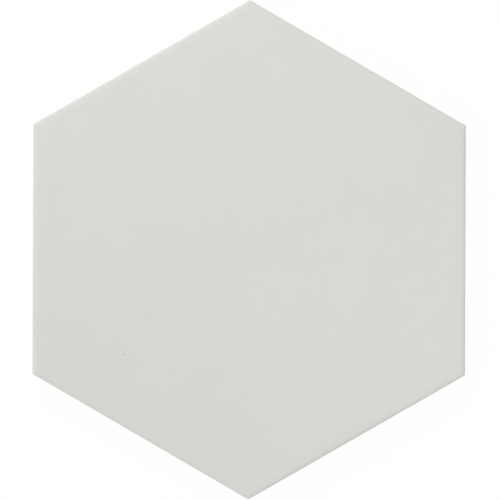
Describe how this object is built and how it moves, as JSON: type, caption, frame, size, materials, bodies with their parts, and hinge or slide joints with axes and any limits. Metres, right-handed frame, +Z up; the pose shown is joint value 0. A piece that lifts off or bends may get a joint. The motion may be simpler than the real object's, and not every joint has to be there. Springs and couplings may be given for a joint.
{
  "type": "hexagonal porcelain tile",
  "caption": "Flat hexagonal porcelain tile with a softly cushioned edge to its face, upright sides and a honeycomb-keyed back, bedded in adhesive on floors and walls.",
  "frame": {"origin": "middle of the tile, on the bearing plane of its back", "axes": "+Z up out of the face, +Y towards one corner, +X square to one side"},
  "size_m": [0.175, 0.2018, 0.009],
  "materials": {
    "porcelain": "matt"
  },
  "bodies": {
    "root": {"hexagon_tile": "porcelain"}
  },
  "joints": []
}
